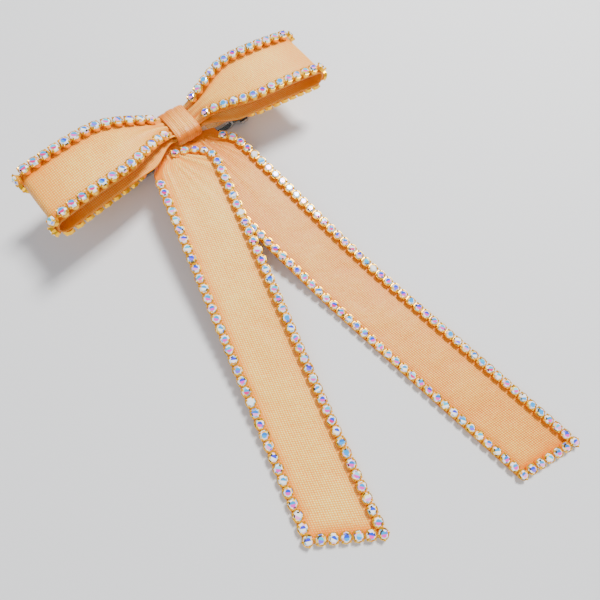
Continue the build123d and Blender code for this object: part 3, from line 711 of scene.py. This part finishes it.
def facet_ramp(factor, colours):
    """Steps of colour along a factor; the colours share it by the weights given."""
    ramp = add_node(crystal_tree, "ShaderNodeValToRGB", Fac=factor)
    ramp.color_ramp.interpolation = "CONSTANT"
    stops = ramp.color_ramp.elements
    total = sum(weight for weight, _ in colours)
    reached = 0.0
    for index, (weight, colour) in enumerate(colours):
        stop = stops[index] if index < 2 else stops.new(reached)
        stop.position = reached
        stop.color = linear(colour)
        reached += weight / total
    return ramp.outputs["Color"]


glint = add_node(crystal_tree, "ShaderNodeAttribute", {"attribute_name": "glint"})
reflection_draw = add_node(crystal_tree, "ShaderNodeAttribute", {"attribute_name": "reflection_draw"})
zone = add_node(crystal_tree, "ShaderNodeAttribute", {"attribute_name": "zone"})
# Painted glints on the crown facets, light, grey and dark; a painted blue reflection on a table's upper half
# and a painted pink one on its lower half.
crown_painted_glints = facet_ramp(glint.outputs["Fac"], [
    (42, "FFFFFF"), (8, "C4EEFF"), (6, "FFB8EA"), (9, "FFE04A"), (8, "9AA4A6"), (9, "3B352C"),
    (7, "F0A818"), (7, "6CC8F5"), (4, "5A74F0")])
table_upper_painted_reflection = facet_ramp(reflection_draw.outputs["Fac"], [
    (30, "009CE0"), (16, "0A3CE6"), (10, "FFFFFF"), (14, "00C4E6"), (10, "3A30E0"), (8, "7FE0FF"),
    (12, "0078D8")])
# The lower half of a table takes a second draw, made by spinning the first one past 1.
respun = calculate(crystal_tree, "FRACT", calculate(crystal_tree, "MULTIPLY", reflection_draw.outputs["Fac"], 7.3))
table_lower_painted_reflection = facet_ramp(respun, [
    (28, "F040C0"), (12, "E00A78"), (20, "FFFFFF"), (14, "7A58F4"), (12, "FF98E0"), (14, "1AA0F0")])
# Zone is 0 off the table, 1 on its lower half and 2 on its upper half.
in_table = calculate(crystal_tree, "GREATER_THAN", zone.outputs["Fac"], 0.5)
in_upper = calculate(crystal_tree, "GREATER_THAN", zone.outputs["Fac"], 1.5)
table_painted_reflection = add_node(crystal_tree, "ShaderNodeMix", {"data_type": "RGBA"}, Factor=in_upper,
                        i6=table_lower_painted_reflection, i7=table_upper_painted_reflection)
facet_painted_reflection = add_node(crystal_tree, "ShaderNodeMix", {"data_type": "RGBA"}, Factor=in_table,
                        i6=crown_painted_glints, i7=table_painted_reflection.outputs[2])
crystal_tree.links.new(facet_painted_reflection.outputs[2], crystal_shader.inputs["Base Color"])
# The stones glow faintly with the same painted glint colours: painted light.
crystal_tree.links.new(facet_painted_reflection.outputs[2], crystal_shader.inputs["Emission Color"])

stone_tree, stone_source, stone_seat = chain_tree("chaton_stones", stone_sizes)
stone_r, table_r, crown_h, girdle_h = [stone_source.outputs[key] for key in stone_sizes]
facets = 8
culet_r = 0.3 * MM
mid_r = calculate(stone_tree, "MULTIPLY", stone_r, 0.86)
star_depth = calculate(stone_tree, "MULTIPLY", crown_h, 0.85)
star_z = calculate(stone_tree, "ADD", girdle_h, crown_h)
table_z = calculate(stone_tree, "ADD", star_z, star_depth)
pavilion = turned_shape(stone_tree, facets, culet_r, stone_r, girdle_h, 0.0, "NGON")
crown = turned_shape(stone_tree, facets, stone_r, mid_r, crown_h, girdle_h)
star = turned_shape(stone_tree, facets, mid_r, table_r, star_depth, star_z)
table = add_node(stone_tree, "GeometryNodeMeshCircle", {"fill_type": "TRIANGLE_FAN"},
                 Vertices=facets, Radius=table_r)
table_up = lifted(stone_tree, table.outputs[0], table_z)
spot = add_node(stone_tree, "GeometryNodeInputPosition")
spot_parts = add_node(stone_tree, "ShaderNodeSeparateXYZ", Vector=spot.outputs[0])
is_upper = calculate(stone_tree, "GREATER_THAN", spot_parts.outputs["Y"], -0.1 * MM)
zone_value = calculate(stone_tree, "ADD", is_upper, 1.0)
zoned = add_node(stone_tree, "GeometryNodeStoreNamedAttribute", {"data_type": "FLOAT", "domain": "FACE"},
                 Geometry=table_up, Name="zone", Value=zone_value)
whole_stone = joined(stone_tree, [pavilion, crown, star, zoned.outputs[0]])
finish_tree(stone_tree, stone_source, stone_seat, whole_stone, crystal, False, True)

for chain, body, seed in (("loop_upper", "bow", 51), ("loop_lower", "bow", 51),
                          ("left_tail", "left_tail", 92), ("right_tail", "right_tail", 104)):
    cloud = place_cloud(chain + "_places", *chain_places(chain + "_stones"))
    cups = grow(cloud, cup_tree, chain + "_claw_cups", cup_sizes)
    settle_stones(cloud, seed)
    stones = grow(cloud, stone_tree, chain + "_chatons", stone_sizes)
    bpy.data.objects.remove(cloud)
    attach(cups, body)
    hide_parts(chain + "_cups")
    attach(stones, body)
    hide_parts(chain + "_stones")

# ---- chain links ----
# Small flat links of stamped brass that join each cup to the next. They are plated with the
# cups, so they share their gold.
for node in ("loop_chain_links", "left_tail_links", "right_tail_links"):
    nodes[node].data.materials.clear()
    nodes[node].data.materials.append(gold)

# ---- binding thread and glue ----
# Matt polyester thread, wound tight round the core so that its turns show as ridges, and a
# lumpy pad of set hot-melt glue that holds the bow to the barrette.
thread_finish, thread_tree, thread_shader = new_material(
    "matt_polyester_thread", Base_Color=linear("D9A871"), Roughness=0.8, Sheen_Weight=0.3)
thread_place = add_node(thread_tree, "ShaderNodeTexCoord")
turns = add_node(thread_tree, "ShaderNodeTexWave", {"wave_type": "BANDS", "bands_direction": "X"},
                 Vector=thread_place.outputs["Object"], Scale=wave_period / (0.45 * MM), Distortion=0.6)
thread_bump = add_node(thread_tree, "ShaderNodeBump", Height=turns.outputs["Fac"], Strength=0.9,
                       Distance=0.2 * MM)
thread_tree.links.new(thread_bump.outputs["Normal"], thread_shader.inputs["Normal"])
glue_finish, glue_tree, glue_shader = new_material(
    "set_hot_melt_glue", Base_Color=linear("EDE3C8"), Roughness=0.35, Subsurface_Weight=0.2)
glue_place = add_node(glue_tree, "ShaderNodeTexCoord")
glue_lumps = add_node(glue_tree, "ShaderNodeTexNoise", Vector=glue_place.outputs["Object"],
                      Scale=1 / (2.5 * MM), Detail=2.0)
glue_bump = add_node(glue_tree, "ShaderNodeBump", Height=glue_lumps.outputs["Fac"], Strength=0.6,
                     Distance=0.5 * MM)
glue_tree.links.new(glue_bump.outputs["Normal"], glue_shader.inputs["Normal"])

# ---- barrette ----
# Pressed spring steel, nickel plated: an arched top plate, a clasp arm, a bowed tension strip
# and a squeeze catch, held by bright rivets.


def plated_steel(name, tone, low, high, grain_mm, stretch):
    """Nickel-plated steel with fine rolling marks drawn along the bow."""
    material, tree, shader = new_material(name, Base_Color=linear(tone), Metallic=1.0)
    place = add_node(tree, "ShaderNodeTexCoord")
    aim = add_node(tree, "ShaderNodeMapping", Vector=place.outputs["Object"])
    aim.inputs["Scale"].default_value = (1 / stretch, 1, 1)
    marks = add_node(tree, "ShaderNodeTexNoise", Vector=aim.outputs["Vector"], Scale=1 / (grain_mm * MM),
                     Detail=4.0)
    span = add_node(tree, "ShaderNodeMapRange", Value=marks.outputs["Fac"], To_Min=low, To_Max=high)
    tree.links.new(span.outputs[0], shader.inputs["Roughness"])
    bump = add_node(tree, "ShaderNodeBump", Height=marks.outputs["Fac"], Strength=0.15, Distance=0.04 * MM)
    tree.links.new(bump.outputs["Normal"], shader.inputs["Normal"])
    return material


plate_steel = plated_steel("nickel_plated_pressed_steel", "CFCDC8", 0.18, 0.34, 0.5, 12)
strip_steel = plated_steel("rolled_spring_steel", "B9BCC0", 0.25, 0.45, 0.3, 20)
rivet_steel = plated_steel("bright_rivet_wire", "DAD9D5", 0.12, 0.22, 0.4, 1)
finishes = {
    "binding_thread": thread_finish, "glue_pad": glue_finish, "top_plate": plate_steel,
    "clasp_arm": plate_steel, "catch_saddle": plate_steel, "release_prong_front": plate_steel,
    "release_prong_rear": plate_steel, "tension_strip": strip_steel, "hinge_pin": rivet_steel,
    "catch_rivet": rivet_steel}
for node, finish in finishes.items():
    nodes[node].data.materials.clear()
    nodes[node].data.materials.append(finish)
